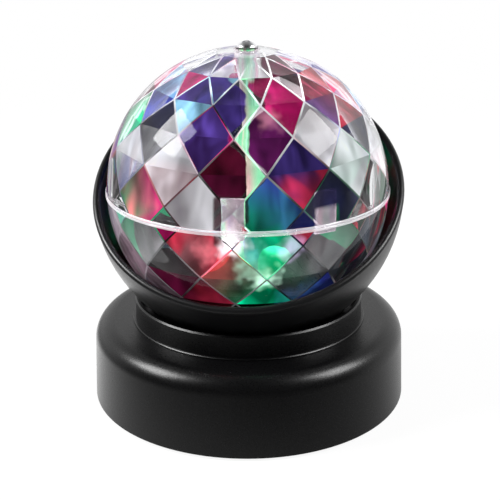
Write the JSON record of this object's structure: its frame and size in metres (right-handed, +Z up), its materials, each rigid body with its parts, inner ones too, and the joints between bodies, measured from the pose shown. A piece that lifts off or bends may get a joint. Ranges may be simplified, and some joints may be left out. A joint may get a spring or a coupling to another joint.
{
  "type": "light show projector",
  "caption": "Table-top light show projector: a clear faceted ball turns in a black tilted cradle over coloured lamps, on a round battery base with a slide switch.",
  "frame": {"origin": "middle of the base's round footprint, on the table under the rubber feet", "axes": "+Z up along the ball's axis, -Y to the front, where the cradle's rim is lowest, +X to the right seen from the front"},
  "size_m": [0.115, 0.115, 0.1296],
  "materials": {
    "black_moulding": "satin moulded black",
    "gloss_black": "gloss moulded black",
    "clear_plastic": "clear polished",
    "chrome_screw": "bright plated",
    "steel": "plain",
    "motor_can": "drawn can",
    "switch_frame": "plated",
    "brass": "turned",
    "white_nylon": "natural nylon",
    "deck_silver": "silvered",
    "board_green": "solder mask",
    "red_lens": "lit lens",
    "green_lens": "lit lens",
    "blue_lens": "lit lens",
    "cell_jacket": "printed jacket left plain",
    "foot_rubber": "matt"
  },
  "bodies": {
    "base": {"base_shell": "black_moulding", "neck_collar": "black_moulding", "cradle_bowl": "gloss_black", "bottom_cover": "black_moulding", "rubber_feet": "foot_rubber", "cover_screws": "steel", "neck_screws": "steel", "gear_case": "black_moulding", "lamp_deck": "deck_silver", "deck_screws": "steel", "led_board": "board_green", "red_led": "red_lens", "green_led": "green_lens", "blue_led": "blue_lens", "shaft_bush": "brass", "idler_axles": "steel", "drive_motor": "motor_can", "motor_screws": "steel", "aa_cells": "cell_jacket", "cell_springs": "steel", "contact_plates": "steel", "switch_body": "switch_frame", "switch_screws": "steel"},
    "ball": {"ball_upper_shell": "clear_plastic", "ball_lower_shell": "clear_plastic", "top_screw": "chrome_screw", "drive_rod": "clear_plastic", "ball_spindle": "steel", "output_gear": "white_nylon"},
    "slow_gear": {"slow_idler": "white_nylon"},
    "fast_gear": {"fast_idler": "white_nylon"},
    "rotor": {"motor_pinion": "brass", "motor_shaft": "steel"},
    "switch": {"switch_knob": "black_moulding"},
    "door": {"battery_door": "black_moulding"}
  },
  "joints": [
    {"name": "ball_spin", "type": "hinge", "parent": "base", "child": "ball", "pos_m": [0, 0, 0.0773], "axis": [0, 0, 1], "continuous": true},
    {"name": "slow_gear_spin", "type": "hinge", "parent": "base", "child": "slow_gear", "pos_m": [-0.01083, 0.00625, 0.04], "axis": [0, 0, 1], "continuous": true},
    {"name": "fast_gear_spin", "type": "hinge", "parent": "base", "child": "fast_gear", "pos_m": [-0.01083, -0.00625, 0.04], "axis": [0, 0, 1], "continuous": true},
    {"name": "rotor_spin", "type": "hinge", "parent": "base", "child": "rotor", "pos_m": [0, -0.0125, 0.036], "axis": [0, 0, 1], "continuous": true},
    {"name": "switch_slide", "type": "slide", "parent": "base", "child": "switch", "axis": [1, 0, 0], "range_m": [-0.004, 0]},
    {"name": "door_swing", "type": "hinge", "parent": "base", "child": "door", "pos_m": [0, -0.02055, 0.0023], "axis": [-1, 0, 0], "range_deg": [0, 95]}
  ],
  "couplings": [
    {"joint": "slow_gear_spin", "follows": "ball_spin", "ratio": -4},
    {"joint": "fast_gear_spin", "follows": "ball_spin", "ratio": 16},
    {"joint": "rotor_spin", "follows": "ball_spin", "ratio": -64}
  ]
}
